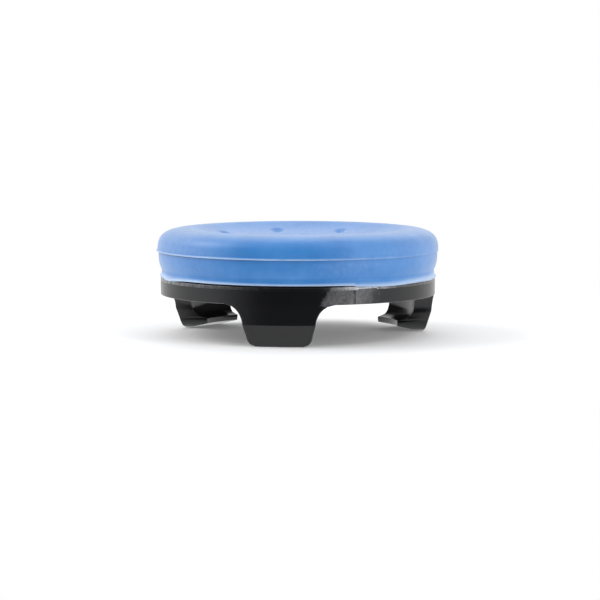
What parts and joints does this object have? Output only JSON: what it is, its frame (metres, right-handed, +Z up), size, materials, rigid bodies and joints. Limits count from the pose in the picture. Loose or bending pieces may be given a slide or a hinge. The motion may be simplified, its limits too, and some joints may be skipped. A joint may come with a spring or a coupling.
{
  "type": "controller thumb grip",
  "caption": "Round clip-on grip for a thumbstick: a dished rubber thumb cap on a hard base whose hooked legs snap under the stick's edge.",
  "frame": {"origin": "on the grip's axis, at the level of the feet", "axes": "+Z up along the axis to the dished top, -Y through the middle of one leg"},
  "size_m": [0.0244, 0.0244, 0.0093],
  "materials": {
    "blue_rubber": "smooth moulded, satin",
    "black_plastic": "moulded, low sheen"
  },
  "bodies": {
    "root": {"clip_base": "black_plastic", "rubber_cap": "blue_rubber"}
  },
  "joints": []
}
